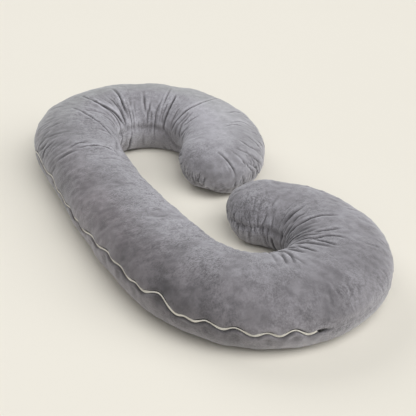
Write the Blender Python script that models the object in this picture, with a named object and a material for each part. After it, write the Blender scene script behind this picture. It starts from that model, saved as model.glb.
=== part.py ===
"""C-shaped body pillow: a stuffed velour cover with a zip in the seam of its long side.

Metres, +Z up. The pillow lies flat on z = 0, its long side along +X and its two arms curling to +Y.
Its centreline is followed from the head arm's tip, round the head bend, down the long side and
round the foot bend to the foot arm's tip. The outer side is to the right of that way.

A place on the cover is given by two numbers. `at` is the distance along the centreline, and
`around` is the angle round the section, in degrees: 0 at the widest line of the outer side,
90 at the crown, 180 at the inner side and 270 underneath.
"""

from collections import namedtuple

import bmesh
import bpy
import numpy as np

# The sections, one for every 0.225 m. heading is the centreline's direction in plan, in degrees
# from +X. outer and inner are the half-widths on either side of it, and crown is the height.
Section = namedtuple("Section", "at heading outer inner crown")
SECTIONS = (
    Section(0.000, -244, 0.132, 0.132, 0.151),
    Section(0.225, -196, 0.143, 0.113, 0.166),
    Section(0.450, -145, 0.143, 0.107, 0.180),
    Section(0.675, -88, 0.149, 0.122, 0.189),
    Section(0.900, -23, 0.142, 0.122, 0.191),
    Section(1.125, -5, 0.116, 0.123, 0.189),
    Section(1.350, 0, 0.121, 0.123, 0.184),
    Section(1.575, 4, 0.124, 0.138, 0.179),
    Section(1.800, 27, 0.137, 0.143, 0.171),
    Section(2.025, 81, 0.152, 0.152, 0.165),
    Section(2.250, 147, 0.148, 0.130, 0.163),
    Section(2.475, 199, 0.124, 0.107, 0.161),
    Section(2.700, 246, 0.095, 0.125, 0.149),
)
START = (-0.0967, 0.0707)  # plan position of the head arm's tip
WIDEST = 0.533           # height of the section's widest line, as a share of the crown
ROUNDNESS = 2.1          # exponent of the section's curve, 2 being an ellipse
PRESSED = 1.2            # depth of the lower half before the floor flattens it, as a share
FLOOR_EASE = 0.08        # how gently the underside rounds into its flat, as a share of that depth
TIP_ROUNDNESS = 0.82     # how fast the height falls towards a tip, against the width
TIP_LEAST = 0.02         # share of the reach that is left at a tip

# The seam runs round the edge. Along the zip it waves: rise is its height over the widest line.
Wave = namedtuple("Wave", "at rise")
SEAM_WAVE = (
    Wave(0.880, 0.000), Wave(0.940, -0.006), Wave(0.985, 0.007), Wave(1.065, -0.008),
    Wave(1.125, 0.006), Wave(1.165, -0.016), Wave(1.205, -0.008), Wave(1.240, -0.020),
    Wave(1.305, -0.001), Wave(1.335, -0.014), Wave(1.370, -0.007), Wave(1.400, -0.016),
    Wave(1.475, 0.007), Wave(1.515, 0.001), Wave(1.575, 0.019), Wave(1.605, 0.013),
    Wave(1.645, 0.019), Wave(1.680, 0.008), Wave(1.707, 0.013), Wave(1.732, 0.007),
    Wave(1.776, 0.026), Wave(1.814, -0.005), Wave(1.833, -0.001), Wave(1.852, -0.005),
    Wave(1.872, 0.008), Wave(1.898, -0.005), Wave(1.918, 0.006), Wave(1.944, -0.012),
    Wave(1.964, -0.002), Wave(1.982, -0.012), Wave(2.002, 0.004), Wave(2.023, -0.015),
    Wave(2.037, -0.009), Wave(2.085, -0.011), Wave(2.200, 0.000),
)
SEAM_DEPTH = 0.005       # how far the seam is drawn in
SEAM_FLAT = 0.0042       # half-width of the channel's floor on the outer side
SEAM_LIP = 0.017         # distance from the seam to where the drawing-in ends
MOST_LIP = 0.45          # most that the lip and the channel's floor turn round a low section,
MOST_FLAT = 0.12         # in radians

# The main folds: soft troughs across the tube, each from its outer end over a middle to its inner end.
Fold = namedtuple("Fold", "at1 around1 at2 around2 at3 around3 width depth")
FOLDS = (
    Fold(0.055, 95, 0.040, 50, 0.045, 5, 0.013, 0.006),
    Fold(0.365, 55, 0.355, 105, 0.390, 176, 0.014, 0.010),
    Fold(0.495, 72, 0.452, 110, 0.448, 178, 0.015, 0.013),
    Fold(0.670, 80, 0.665, 118, 0.706, 165, 0.015, 0.006),
    Fold(0.765, 75, 0.780, 118, 0.740, 172, 0.015, 0.010),
    Fold(0.832, 72, 0.905, 110, 0.990, 142, 0.015, 0.009),
    Fold(1.105, 68, 1.128, 95, 1.165, 122, 0.015, 0.010),
    Fold(2.050, 95, 2.066, 116, 2.045, 150, 0.014, 0.008),
    Fold(2.228, 72, 2.230, 104, 2.160, 130, 0.016, 0.011),
    Fold(2.340, 82, 2.352, 119, 2.350, 168, 0.016, 0.010),
    Fold(2.425, 100, 2.436, 135, 2.450, 170, 0.016, 0.005),
)
FOLD_POINTS = 13         # points along a fold's line
FOLD_RIDGE = 0.45        # height of the soft ridges beside a fold, as a share of its depth
RIDGE_SPREAD = 1.6       # how far out a ridge reaches, against the trough
FOLD_RUN_IN = 0.04       # share of a fold's length that is left out of its taper at each end
FOLD_TAPER = 0.7         # how full a fold stays towards its ends, 0 being full to the end
FOLD_LOWEST = 0.01       # folds stay above this height

# Stations of the rings that make the solid: steps in the rounded tips, then stretches.
Stretch = namedtuple("Stretch", "end spacing")
TIP_STEPS = 8
STRETCHES = (Stretch(0.94, 0.018), Stretch(1.84, 0.016), Stretch(2.07, 0.012), Stretch(None, 0.018))
UPPER_POINTS = 12        # points of a ring between the lips, over the crown
LOWER_POINTS = 10        # points of a ring between the lips, underneath

ZIP_START = 0.945        # stations between which the zip's chain lies in the seam
ZIP_END = 2.035
ZIP_HALF_WIDTH = 0.0033
ZIP_THICKNESS = 0.0016
ZIP_CLEARANCE = 0.0005   # between the chain or the slider and the channel's floor
SLIDER_SIZE = (0.0090, 0.0064, 0.0036)  # along the seam, across it, and out from it
SLIDER_CHAMFER = 0.0010
SLIDER_GAP = 0.0013      # between the chain's end and the slider

VELOUR = ((0.29, 0.285, 0.30, 1), 0.9, 0)
ZIP_TAPE = ((0.74, 0.70, 0.60, 1), 0.6, 0)
DARK_METAL = ((0.06, 0.06, 0.065, 1), 0.4, 0.8)

LENGTH = SECTIONS[-1].at
FINE = np.linspace(0, LENGTH, 601)
PROBE = 0.0005           # step for measuring the surface's directions


def smooth(at, values, s):
    """A smooth curve through the values at the stations `at`, read at the stations s."""
    at = np.asarray(at, float)
    values = np.asarray(values, float)
    slope = np.empty_like(values)
    slope[1:-1] = (values[2:] - values[:-2]) / (at[2:] - at[:-2])
    slope[0] = 2 * (values[1] - values[0]) / (at[1] - at[0]) - slope[1]
    slope[-1] = 2 * (values[-1] - values[-2]) / (at[-1] - at[-2]) - slope[-2]
    k = np.clip(np.searchsorted(at, s, side="right") - 1, 0, len(at) - 2)
    span = at[k + 1] - at[k]
    t = (s - at[k]) / span
    return (
        (2 * t**3 - 3 * t**2 + 1) * values[k]
        + (t**3 - 2 * t**2 + t) * span * slope[k]
        + (3 * t**2 - 2 * t**3) * values[k + 1]
        + (t**3 - t**2) * span * slope[k + 1]
    )


def column(name, s):
    """One column of the section table, read at the stations s."""
    return smooth([row.at for row in SECTIONS], [getattr(row, name) for row in SECTIONS], s)


def centreline():
    """Plan positions along the centreline, from its heading."""
    heading = np.radians(column("heading", FINE))
    step = FINE[1]
    x = np.cumsum(np.cos(heading)) * step
    y = np.cumsum(np.sin(heading)) * step
    return START[0] + x - x[0], START[1] + y - y[0]


LINE_X, LINE_Y = centreline()
HEAD_REACH = (SECTIONS[0].outer + SECTIONS[0].inner) / 2
FOOT_REACH = (SECTIONS[-1].outer + SECTIONS[-1].inner) / 2


def fullness(s):
    """1 along the tube, falling to almost 0 in a round curve at the two tips."""
    q = np.minimum(np.minimum(s / HEAD_REACH, (LENGTH - s) / FOOT_REACH), 1)
    return np.maximum(np.sqrt(1 - (1 - q) ** 2), TIP_LEAST)


def lobe_heights(s):
    """Heights of the widest line, and of the section above and below it."""
    crown = column("crown", s)
    widest = WIDEST * crown
    share = fullness(s) ** TIP_ROUNDNESS
    return widest, (crown - widest) * share, widest * share


def flattened(depth):
    """Depth under the widest line, eased into the floor, which lies at 1."""
    eased = depth - (depth - 1 + FLOOR_EASE) ** 2 / (4 * FLOOR_EASE)
    return np.where(depth < 1 - FLOOR_EASE, depth, np.where(depth < 1 + FLOOR_EASE, eased, 1))


def surface(s, around):
    """Points on the smooth cover, before the seam and the folds. around is in radians."""
    heading = np.radians(column("heading", s))
    widest, above, below = lobe_heights(s)
    power = 2 / ROUNDNESS
    cosine, sine = np.cos(around), np.sin(around)
    reach = np.where(cosine > 0, column("outer", s), column("inner", s)) * fullness(s)
    aside = reach * np.sign(cosine) * np.abs(cosine) ** power
    rise = np.abs(sine) ** power
    z = widest + np.where(sine > 0, above * rise, -below * flattened(PRESSED * rise))
    x = np.interp(s, FINE, LINE_X) + np.sin(heading) * aside
    y = np.interp(s, FINE, LINE_Y) - np.cos(heading) * aside
    return np.stack([x, y, z], -1)


def unit(v):
    return v / np.maximum(np.linalg.norm(v, axis=-1, keepdims=True), 1e-9)


def outward(s, around):
    """The cover's outward normals."""
    s = np.clip(s, PROBE, LENGTH - PROBE)
    along = surface(s + PROBE, around) - surface(s - PROBE, around)
    across = surface(s, around + 0.01) - surface(s, around - 0.01)
    return unit(np.cross(along, across))


def seam_angle(s):
    """Angle round the section at which the outer seam lies."""
    rise = smooth([row.at for row in SEAM_WAVE], [row.rise for row in SEAM_WAVE], s)
    rise = np.where((s < SEAM_WAVE[0].at) | (s > SEAM_WAVE[-1].at), 0, rise)
    _, above, below = lobe_heights(s)
    share = np.abs(rise) / np.where(rise > 0, above, below * PRESSED)
    return np.sign(rise) * np.arcsin(share ** (ROUNDNESS / 2))


def ring_grid(s):
    """Angles round each ring and how far each point is drawn in, one row for a ring."""
    _, above, below = lobe_heights(s)
    seam = seam_angle(s)
    lip = SEAM_LIP / above, SEAM_LIP / below
    flat = SEAM_FLAT / above, SEAM_FLAT / below
    lip = [np.minimum(v, MOST_LIP) for v in lip]
    flat = [np.minimum(v, MOST_FLAT) for v in flat]
    angles = [seam + flat[0]]
    start, end = seam + lip[0], np.pi - lip[0]
    angles += [start + (end - start) * t for t in np.linspace(0, 1, UPPER_POINTS + 2)]
    angles.append(np.full_like(s, np.pi))
    start, end = np.pi + lip[1], 2 * np.pi + seam - lip[1]
    angles += [start + (end - start) * t for t in np.linspace(0, 1, LOWER_POINTS + 2)]
    angles.append(2 * np.pi + seam - flat[1])
    drawn = np.zeros((len(s), len(angles)))
    drawn[:, [0, -1, UPPER_POINTS + 3]] = SEAM_DEPTH
    return np.stack(angles, 1), drawn * fullness(s)[:, None]


def fold_line(fold):
    """Points of the smooth cover along a fold, through its three places."""
    t = np.linspace(0, 1, FOLD_POINTS)
    weights = (1 - t) * (1 - 2 * t), 4 * t * (1 - t), t * (2 * t - 1)
    at = weights[0] * fold.at1 + weights[1] * fold.at2 + weights[2] * fold.at3
    around = weights[0] * fold.around1 + weights[1] * fold.around2 + weights[2] * fold.around3
    return surface(at, np.radians(around))


def distance_to_line(points, line):
    """Distance of each point from a line of points, and how far along the line it is, 0 to 1."""
    best = np.full(len(points), np.inf)
    share = np.zeros(len(points))
    for k in range(len(line) - 1):
        leg = line[k + 1] - line[k]
        t = np.clip((points - line[k]) @ leg / (leg @ leg), 0, 1)
        away = np.linalg.norm(points - line[k] - t[:, None] * leg, axis=1)
        nearer = away < best
        best = np.where(nearer, away, best)
        share = np.where(nearer, (k + t) / (len(line) - 1), share)
    return best, share


def fold_depth(points):
    """How far the folds push each point in. Beside a trough a soft ridge stands out."""
    depth = np.zeros(len(points))
    for fold in FOLDS:
        away, share = distance_to_line(points, fold_line(fold))
        share = FOLD_RUN_IN + share * (1 - 2 * FOLD_RUN_IN)
        taper = np.sin(np.pi * share) ** FOLD_TAPER
        q = (away / fold.width) ** 2
        trough = np.exp(-q) - FOLD_RIDGE * q / RIDGE_SPREAD * np.exp(-q / RIDGE_SPREAD)
        depth += fold.depth * taper * trough
    return depth


def ring_stations():
    """Stations of the rings: close together in the tips and along the zip."""
    angles = np.linspace(0, np.pi / 2, TIP_STEPS + 1)[1:]
    stations = list(HEAD_REACH * (1 - np.cos(angles)))
    for stretch in STRETCHES:
        end = stretch.end or LENGTH - FOOT_REACH
        count = round((end - stations[-1]) / stretch.spacing)
        stations += list(np.linspace(stations[-1], end, count + 1)[1:])
    stations += list(LENGTH - FOOT_REACH * (1 - np.cos(angles[::-1])))[1:]
    return np.array(stations)


def cover_rings(s):
    """The cover's rings of points, with the drawn-in seam and the folds."""
    around, drawn = ring_grid(s)
    places = np.repeat(s[:, None], around.shape[1], 1)
    points = surface(places.ravel(), around.ravel())
    inward = -outward(places.ravel(), around.ravel())
    folded = fold_depth(points) * (points[:, 2] > FOLD_LOWEST)
    points += inward * (drawn.ravel() + folded)[:, None]
    points[:, 2] = np.maximum(points[:, 2], 0)
    return points.reshape(around.shape + (3,))


def add_object(name, bm, look):
    """A Blender object with its own material, from a closed bmesh."""
    bmesh.ops.recalc_face_normals(bm, faces=bm.faces)
    if bm.calc_volume(signed=True) < 0:
        bmesh.ops.reverse_faces(bm, faces=bm.faces)
    mesh = bpy.data.meshes.new(name)
    bm.to_mesh(mesh)
    bm.free()
    mesh.shade_smooth()
    colour, roughness, metallic = look
    material = bpy.data.materials.new(name)
    material.use_nodes = True
    shader = material.node_tree.nodes["Principled BSDF"]
    shader.inputs["Base Color"].default_value = colour
    shader.inputs["Roughness"].default_value = roughness
    shader.inputs["Metallic"].default_value = metallic
    material.diffuse_color = colour
    mesh.materials.append(material)
    obj = bpy.data.objects.new(name, mesh)
    bpy.context.scene.collection.objects.link(obj)
    return obj


def loft(rings, tips=None):
    """A closed skin over rings of points, ending in flat caps or in the two tip points."""
    bm = bmesh.new()
    loops = [[bm.verts.new(point) for point in ring] for ring in rings]
    count = len(loops[0])
    for near, far in zip(loops, loops[1:]):
        for j in range(count):
            k = (j + 1) % count
            bm.faces.new((near[j], far[j], far[k], near[k]))
    for loop, tip in zip((loops[0], loops[-1]), tips or (None, None)):
        if tip is None:
            bm.faces.new(loop)
            continue
        pole = bm.verts.new(tip)
        for j in range(count):
            bm.faces.new((loop[j], loop[(j + 1) % count], pole))
    bmesh.ops.triangulate(bm, faces=bm.faces)
    return bm


def make_pillow(rings):
    """The stuffed cover: one filled solid."""
    tips = [surface(np.array([s]), np.array([0.0]))[0] for s in (0, LENGTH)]
    for tip, s in zip(tips, (0, LENGTH)):
        tip[0] = np.interp(s, FINE, LINE_X)
        tip[1] = np.interp(s, FINE, LINE_Y)
    return add_object("pillow", loft(rings, tips), VELOUR)


def channel(rings):
    """Middle of the seam channel's floor on each ring, the way across it and the way out of it."""
    upper, lower = rings[:, 0], rings[:, -1]
    middle = (upper + lower) / 2
    along = unit(np.gradient(middle, axis=0))
    out = unit(np.cross(along, upper - lower))
    return middle, unit(np.cross(out, along)), out


def make_zip_chain(stations, rings):
    """The zip's tape and coil as one strip that follows the waving channel."""
    middle, across, out = channel(rings)
    strip = []
    for k in np.flatnonzero((stations >= ZIP_START) & (stations <= ZIP_END)):
        low = middle[k] + out[k] * ZIP_CLEARANCE
        high = low + out[k] * ZIP_THICKNESS
        side = across[k] * ZIP_HALF_WIDTH
        strip.append([low - side, low + side, high + side, high - side])
    return add_object("zip_chain", loft(strip), ZIP_TAPE)


def cut_corner_ring(width, height, cut):
    """Corners of a rectangle with cut corners, as distances across and out."""
    w, h = width / 2, height / 2
    quarter = ((w - cut, -h), (w, cut - h), (w, h - cut), (w - cut, h))
    return list(quarter) + [(-a, b) for a, b in quarter[::-1]]


def make_zip_slider(stations, rings):
    """The slider: a small block with cut edges at the foot end of the chain."""
    middle, across, out = channel(rings)
    last = np.flatnonzero(stations <= ZIP_END)[-1]
    along = unit(middle[last + 1] - middle[last])
    side = unit((across[last] + across[last + 1]) / 2)
    side = unit(side - along * (side @ along))
    normal = unit(np.cross(along, side))
    length, width, height = SLIDER_SIZE
    cut = SLIDER_CHAMFER
    centre = middle[last] + along * (SLIDER_GAP + length / 2) + normal * (ZIP_CLEARANCE + height / 2)
    skin = []
    for place, inset in ((-length / 2, cut), (cut - length / 2, 0), (length / 2 - cut, 0), (length / 2, cut)):
        ring = cut_corner_ring(width - 2 * inset, height - 2 * inset, cut)
        skin.append([centre + along * place + side * a + normal * b for a, b in ring])
    return add_object("zip_slider", loft(skin), DARK_METAL)


def main():
    for old in list(bpy.data.objects):
        bpy.data.objects.remove(old, do_unlink=True)
    stations = ring_stations()
    rings = cover_rings(stations)
    make_pillow(rings)
    make_zip_chain(stations, rings)
    make_zip_slider(stations, rings)


main()
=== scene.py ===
"""C-shaped body pillow in grey velour, lying on a pale floor, with a waving zip in its outer seam.

A place on the cover is given by two numbers: `at` is the distance along the pillow's centreline in
metres, from the head arm's tip to the foot arm's tip, and `around` is the angle round the section,
0 at the widest line of the outer side, 90 at the crown, 180 at the inner side and 270 underneath.
"""

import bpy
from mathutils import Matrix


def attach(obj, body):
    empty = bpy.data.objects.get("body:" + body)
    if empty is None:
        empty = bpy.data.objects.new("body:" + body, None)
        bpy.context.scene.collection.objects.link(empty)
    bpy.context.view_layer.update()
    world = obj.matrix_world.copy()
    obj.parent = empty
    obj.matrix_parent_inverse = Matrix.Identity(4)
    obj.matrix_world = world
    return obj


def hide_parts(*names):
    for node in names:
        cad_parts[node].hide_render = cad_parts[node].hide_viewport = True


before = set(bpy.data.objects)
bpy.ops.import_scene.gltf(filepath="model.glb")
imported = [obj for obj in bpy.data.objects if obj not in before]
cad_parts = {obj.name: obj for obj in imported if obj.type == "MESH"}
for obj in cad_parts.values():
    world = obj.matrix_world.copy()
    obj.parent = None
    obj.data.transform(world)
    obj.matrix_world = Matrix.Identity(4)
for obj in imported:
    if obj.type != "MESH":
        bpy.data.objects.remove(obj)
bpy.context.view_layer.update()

import math
from collections import namedtuple

import bmesh
import bpy
import numpy as np
from mathutils import Vector
from mathutils.kdtree import KDTree

# ---- the form

def named(kind, scales, table):
    """Named rows of a table in whole numbers, each divided by its column's scale.

    Lengths are in millimetres, or in tenths of one where a column's scale is 10000, and angles
    are in degrees. The rest of the script is in metres.
    """
    pairs = [zip(row, scales) for row in table]
    return [kind(*(n if scale == 1 else n / scale for n, scale in pair)) for pair in pairs]


Section = namedtuple("Section", "at heading outer inner crown")
SECTIONS = named(Section, (1000, 1, 1000, 1000, 1000), (
    (0, -244, 132, 132, 151),
    (225, -196, 143, 113, 166),
    (450, -145, 143, 107, 180),
    (675, -88, 149, 122, 189),
    (900, -23, 142, 122, 191),
    (1125, -5, 116, 123, 189),
    (1350, 0, 121, 123, 184),
    (1575, 4, 124, 138, 179),
    (1800, 27, 137, 143, 171),
    (2025, 81, 152, 152, 165),
    (2250, 147, 148, 130, 163),
    (2475, 199, 124, 107, 161),
    (2700, 246, 95, 125, 149),
))
START = (-0.0967, 0.0707)  # plan position of the head arm's tip
WIDEST = 0.533  # height of the section's widest line, as a share of the crown
ROUNDNESS = 2.1  # exponent of the section's curve, 2 being an ellipse
PRESSED = 1.2  # depth of the lower half before the floor flattens it, as a share
FLOOR_EASE = 0.08  # how gently the underside rounds into its flat
TIP_ROUNDNESS = 0.82  # how fast the height falls towards a tip, against the width
TIP_LEAST = 0.02  # share of the reach that is left at a tip

# The seam runs round the edge. rise is its height over the section's widest line.
Wave = namedtuple("Wave", "at rise")
OUTER_WAVE = named(Wave, (1000, 1000), (
    (0, -46), (50, -44), (120, -30), (250, -18), (400, -8), (550, 0), (700, 2), (880, 0), (940, -6),
    (985, 7), (1065, -8), (1125, 6), (1165, -16), (1205, -8), (1240, -20), (1305, -1), (1335, -14),
    (1370, -7), (1400, -16), (1475, 7), (1515, 1), (1575, 19), (1605, 13), (1645, 19), (1680, 8),
    (1707, 13), (1732, 7), (1776, 26), (1814, -5), (1833, -1), (1852, -5), (1872, 8), (1898, -5),
    (1918, 6), (1944, -12), (1964, -2), (1982, -12), (2002, 4), (2023, -15), (2037, -9), (2085, -11),
    (2200, 0), (2450, -4), (2700, -4),
))
INNER_WAVE = named(Wave, (1000, 1000), (
    (0, -46), (47, -28), (90, -16), (200, -22), (330, -42), (367, -45), (401, -27), (445, -3), (560, 3),
    (700, 2), (850, -4), (1100, -10), (1900, -10), (2200, -4), (2450, 2), (2595, 1), (2700, -4),
))
FOLLOW = (0.05, 0.20)  # between these distances from a tip the mesh starts to follow the seams
ZIP_START = 0.945
ZIP_END = 2.035
SEAM_SPACING = 0.0012  # the seam is worked out as a line of points, at most this far apart
TIP_SPAN = 0.14  # they lie closer near the tips, over this length
TIP_POINTS = 400
RUN_OFF = -1.5  # where its angle is less, a seam has run off the tip and isn't there

LENGTH = SECTIONS[-1].at
FINE = np.linspace(0, LENGTH, 1201)
PROBE = 0.0005  # steps along and round the cover from which its slope is read
PROBE_TURN = 0.01


def smooth(at, values, s):
    """A smooth curve through the values at the stations `at`, read at the stations s."""
    at = np.asarray(at, float)
    values = np.asarray(values, float)
    slope = np.empty_like(values)
    slope[1:-1] = (values[2:] - values[:-2]) / (at[2:] - at[:-2])
    slope[0] = 2 * (values[1] - values[0]) / (at[1] - at[0]) - slope[1]
    slope[-1] = 2 * (values[-1] - values[-2]) / (at[-1] - at[-2]) - slope[-2]
    k = np.clip(np.searchsorted(at, s, side="right") - 1, 0, len(at) - 2)
    span = at[k + 1] - at[k]
    t = (s - at[k]) / span
    return (
        (2 * t**3 - 3 * t**2 + 1) * values[k]
        + (t**3 - 2 * t**2 + t) * span * slope[k]
        + (3 * t**2 - 2 * t**3) * values[k + 1]
        + (t**3 - t**2) * span * slope[k + 1]
    )


def read(table, name, s):
    """A column of a table, read at the stations s."""
    return smooth([row.at for row in table], [getattr(row, name) for row in table], s)


def centreline():
    """Plan positions of the centreline at the stations FINE."""
    heading = np.radians(read(SECTIONS, "heading", FINE))
    x = np.cumsum(np.cos(heading)) * FINE[1]
    y = np.cumsum(np.sin(heading)) * FINE[1]
    return START[0] + x - x[0], START[1] + y - y[0]


LINE_X, LINE_Y = centreline()
HEAD_REACH = (SECTIONS[0].outer + SECTIONS[0].inner) / 2
FOOT_REACH = (SECTIONS[-1].outer + SECTIONS[-1].inner) / 2


def fullness(s):
    """1 along the tube, falling to almost 0 in a round curve at the two tips."""
    q = np.clip(np.minimum(s / HEAD_REACH, (LENGTH - s) / FOOT_REACH), 0, 1)
    return np.maximum(np.sqrt(1 - (1 - q) ** 2), TIP_LEAST)


def lobe_heights(s):
    """Heights of the widest line, and of the section above and below it."""
    crown = read(SECTIONS, "crown", s)
    widest = WIDEST * crown
    share = fullness(s) ** TIP_ROUNDNESS
    return widest, (crown - widest) * share, widest * share


def flattened(depth):
    """Depth under the widest line, eased into the floor, which lies at 1."""
    eased = depth - (depth - 1 + FLOOR_EASE) ** 2 / (4 * FLOOR_EASE)
    return np.where(depth < 1 - FLOOR_EASE, depth, np.where(depth < 1 + FLOOR_EASE, eased, 1))


def surface(s, around):
    """Points on the smooth cover, around in radians."""
    heading = np.radians(read(SECTIONS, "heading", s))
    widest, above, below = lobe_heights(s)
    power = 2 / ROUNDNESS
    cosine, sine = np.cos(around), np.sin(around)
    reach = np.where(cosine > 0, read(SECTIONS, "outer", s), read(SECTIONS, "inner", s)) * fullness(s)
    aside = reach * np.sign(cosine) * np.abs(cosine) ** power
    rise = np.abs(sine) ** power
    z = widest + np.where(sine > 0, above * rise, -below * flattened(PRESSED * rise))
    x = np.interp(s, FINE, LINE_X) + np.sin(heading) * aside
    y = np.interp(s, FINE, LINE_Y) - np.cos(heading) * aside
    return np.stack([x, y, z], -1)


def unit(v):
    """Vectors at length 1."""
    return v / np.maximum(np.linalg.norm(v, axis=-1, keepdims=True), 1e-9)


def outward(s, around):
    """Normals of the smooth cover."""
    s = np.clip(s, PROBE, LENGTH - PROBE)
    along = surface(s + PROBE, around) - surface(s - PROBE, around)
    across = surface(s, around + PROBE_TURN) - surface(s, around - PROBE_TURN)
    return unit(np.cross(along, across))


def step(t):
    """0 below 0, 1 above 1, smooth between."""
    t = np.clip(t, 0, 1)
    return t * t * (3 - 2 * t)


def bell(t):
    """1 at 0, falling to a third at 1 and to almost nothing at 2."""
    return np.exp(-(t**2))


def seam_turn(table, s, follow=None):
    """Angle from the widest line to the seam, up being positive."""
    rise = read(table, "rise", s)
    if follow:
        rise = rise * step((np.minimum(s, LENGTH - s) - follow[0]) / (follow[1] - follow[0]))
    _, above, below = lobe_heights(s)
    share = np.abs(rise) / np.where(rise > 0, above, below * PRESSED)
    return np.sign(rise) * np.arcsin(np.minimum(share, 1) ** (ROUNDNESS / 2))


def seam_angle(s):
    """Angle round the section at which the outer seam lies."""
    return seam_turn(OUTER_WAVE, s)


def seam_loop():
    """Points of the smooth cover along the whole seam, and where on the outer side each lies."""
    far = LENGTH - TIP_SPAN
    s = np.linspace(0, TIP_SPAN, TIP_POINTS)
    s = np.concatenate([s, np.arange(TIP_SPAN, far, SEAM_SPACING)])
    s = np.concatenate([s, np.linspace(far, LENGTH, TIP_POINTS)])
    outer, inner = seam_angle(s), seam_turn(INNER_WAVE, s)
    on_outer, on_inner = outer > RUN_OFF, inner > RUN_OFF
    outer, inner = surface(s, outer), surface(s, np.pi - inner)
    points = np.concatenate([outer[on_outer], inner[on_inner][::-1]])
    at = np.concatenate([s[on_outer], np.full(on_inner.sum(), -1.0)])
    gap = np.linalg.norm(np.diff(points, axis=0, append=points[:1]), axis=1)
    filled, filled_at = [], []
    for k in range(len(points)):
        pieces = max(1, math.ceil(gap[k] / SEAM_SPACING))
        following = points[(k + 1) % len(points)]
        for i in range(pieces):
            filled.append(points[k] + (following - points[k]) * i / pieces)
            filled_at.append(at[k])
    return np.array(filled), np.array(filled_at)


# ---- the rings of the cover

TIP_STEPS = 60  # rings in each rounded tip
# Rings stand closer where the cover is creased: each spacing holds up to the place `end`.
Stretch = namedtuple("Stretch", "end spacing")
STRETCHES = [Stretch(*row) for row in (
    (0.30, 0.0028), (0.52, 0.0024), (0.64, 0.0030), (0.80, 0.0024), (1.18, 0.0028), (1.95, 0.0040),
    (2.38, 0.0026), (None, 0.0028),
)]
# Distances from the two seams at which the rings have points, close enough to form the channels.
OUTER_OFFSETS = (0.0, 0.0019, 0.0034, 0.0045, 0.0057, 0.0073, 0.0096, 0.0130, 0.0175)
INNER_OFFSETS = (0.0, 0.0015, 0.0032, 0.0056, 0.0090, 0.0135)
UPPER_POINTS = 52  # how many more points lie between them over the top, and underneath
LOWER_POINTS = 20
MOST_LIP = 0.45  # the most of the section's height that the close points may take up


def ring_stations():
    """Places of the rings along the centreline."""
    angles = np.linspace(0, np.pi / 2, TIP_STEPS + 1)[1:]
    stations = list(HEAD_REACH * (1 - np.cos(angles)))
    for stretch in STRETCHES:
        end = stretch.end or LENGTH - FOOT_REACH
        count = round((end - stations[-1]) / stretch.spacing)
        stations += list(np.linspace(stations[-1], end, count + 1)[1:])
    stations += list(LENGTH - FOOT_REACH * (1 - np.cos(angles[::-1])))[1:]
    return np.array(stations)


def ring_angles(s):
    """Angles round each ring, close together at both seams."""
    _, above, below = lobe_heights(s)
    seam = seam_turn(OUTER_WAVE, s, FOLLOW)[:, None]
    inside = np.pi - seam_turn(INNER_WAVE, s, FOLLOW)[:, None]
    outer = np.array(OUTER_OFFSETS[1:])
    inner = np.array(INNER_OFFSETS[1:])

    def turned(offsets, height):
        squeeze = np.minimum(1, MOST_LIP * height / offsets[-1])
        return offsets[None] * (squeeze / height)[:, None]

    def between(before, after, count):
        start, end = before[:, -1:], after[:, :1]
        return start + (end - start) * np.linspace(0, 1, count + 2)[1:-1]

    over_outer = np.hstack([seam, seam + turned(outer, above)])
    over_inner = inside - turned(inner, above)[:, ::-1]
    under_inner = np.hstack([inside, inside + turned(inner, below)])
    under_outer = 2 * np.pi + seam - turned(outer, below)[:, ::-1]
    upper = over_outer, between(over_outer, over_inner, UPPER_POINTS), over_inner
    lower = under_inner, between(under_inner, under_outer, LOWER_POINTS), under_outer
    return np.hstack(upper + lower)


# ---- seams

ZIP_DEPTH = 0.0056  # how far the zip's channel is drawn in
HEAD_FLAT = 0.6  # how much shallower it is at the head end
ZIP_FLAT = 0.0034  # half-width of its floor
PLAIN_DEPTH = 0.0036  # the same for the plain seam
PLAIN_FLAT = 0.0004
WALL = 0.0042  # width of the channel's wall
LIP_RISE = 0.0012  # how far the cloth stands up beside a seam
LIP_REACH = 0.0075
SOFT_INSIDE = 0.30  # how much shallower the seam is on the inner side, where the cloth is slack
WIDE_INSIDE = 2.2  # how much wider its walls are there
FAINT = (2.044, 2.066, 2.52, 2.62)  # the outer seam is almost closed between these places
FAINT_SHARE = 1.15  # share of its depth that is closed: above 1, so the cloth stands up there
LIP_AWAY = 0.003  # where the lip is highest, past the channel's wall
ZIP_BEFORE = (0.012, 0.02)  # how far before the zip the channel begins, and eases in
ZIP_AFTER = (0.018, 0.008)  # how far past the zip it ends, and eases out
HEAD_SIDE = 1.15  # before this place the zip lies in the head bend


def zip_share(s):
    """1 where the outer seam is the zip's channel, 0 where it is plain."""
    begun = step((s - ZIP_START + ZIP_BEFORE[0]) / ZIP_BEFORE[1])
    return begun * step((ZIP_END + ZIP_AFTER[0] - s) / ZIP_AFTER[1])


def in_head_bend(s, fade):
    """1 where the zip lies in the head bend, falling to 0 over `fade` metres past it."""
    return 1 - step((s - HEAD_SIDE) / fade)


def zip_depth(s):
    """How far the zip's channel is drawn in: less at the head, where the zip pulls the cloth flat."""
    return ZIP_DEPTH * (1 - HEAD_FLAT * in_head_bend(s, 0.15))


def groove(away, zipped, inside, zip_deep):
    """How far a seam draws the cloth in, at a distance from the seam."""
    flat = PLAIN_FLAT + (ZIP_FLAT - PLAIN_FLAT) * zipped
    depth = PLAIN_DEPTH + (zip_deep - PLAIN_DEPTH) * zipped
    past = np.maximum(away - flat, 0)
    width = WALL * (1 + WIDE_INSIDE * inside)
    wall = 1 - step(past / width)
    lip = LIP_RISE * bell((past - width - LIP_AWAY) / LIP_REACH)
    return depth * wall - lip * (1 - wall)


# ---- creases

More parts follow.
